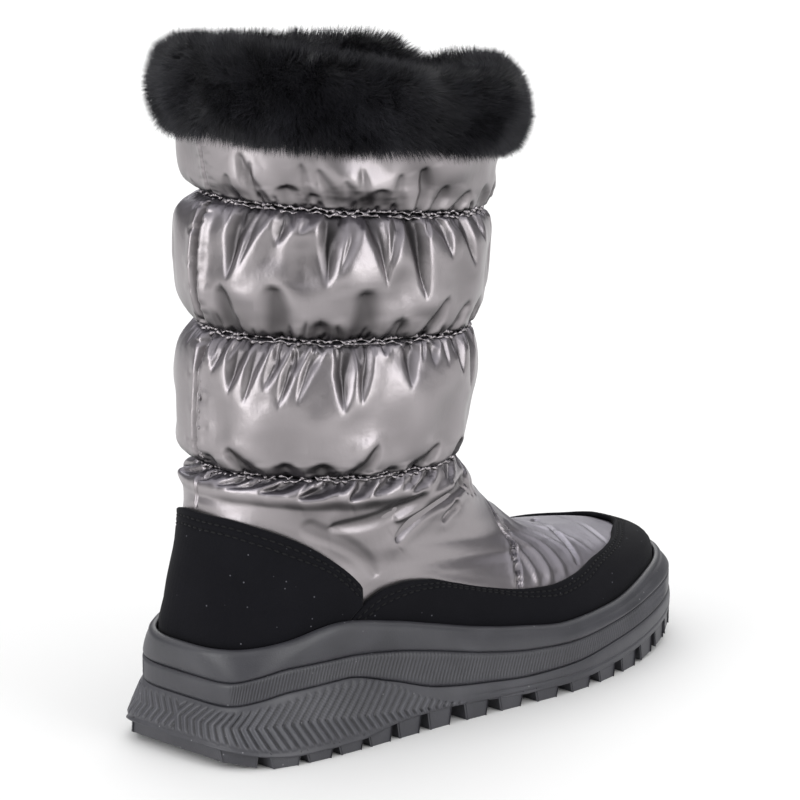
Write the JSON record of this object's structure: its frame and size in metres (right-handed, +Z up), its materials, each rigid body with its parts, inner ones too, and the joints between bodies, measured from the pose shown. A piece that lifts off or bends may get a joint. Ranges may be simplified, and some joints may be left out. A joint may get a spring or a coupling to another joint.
{
  "type": "snow boot",
  "caption": "Right foot winter boot with a quilted padded shaft, fur collar, suede heel and toe overlays and a lugged rubber cup sole.",
  "frame": {"origin": "bottom centre of the bounding box, on the floor under the sole", "axes": "+Z up, -Y towards the toe, -X towards the outer side of the right foot"},
  "size_m": [0.1364, 0.275, 0.2756],
  "materials": {
    "shaft_fabric": "metallic coated nylon over wadding, satin",
    "suede": "nubuck, matt",
    "fur": "deep pile fur",
    "fleece": "short pile fleece",
    "midsole_rubber": "moulded, matt, ribbed band",
    "outsole_rubber": "moulded, matt"
  },
  "bodies": {
    "root": {"upper": "shaft_fabric", "heel_counter": "suede", "mudguard": "suede", "fur_collar": "fur", "insole": "fleece", "midsole": "midsole_rubber", "outsole": "outsole_rubber"}
  },
  "joints": []
}
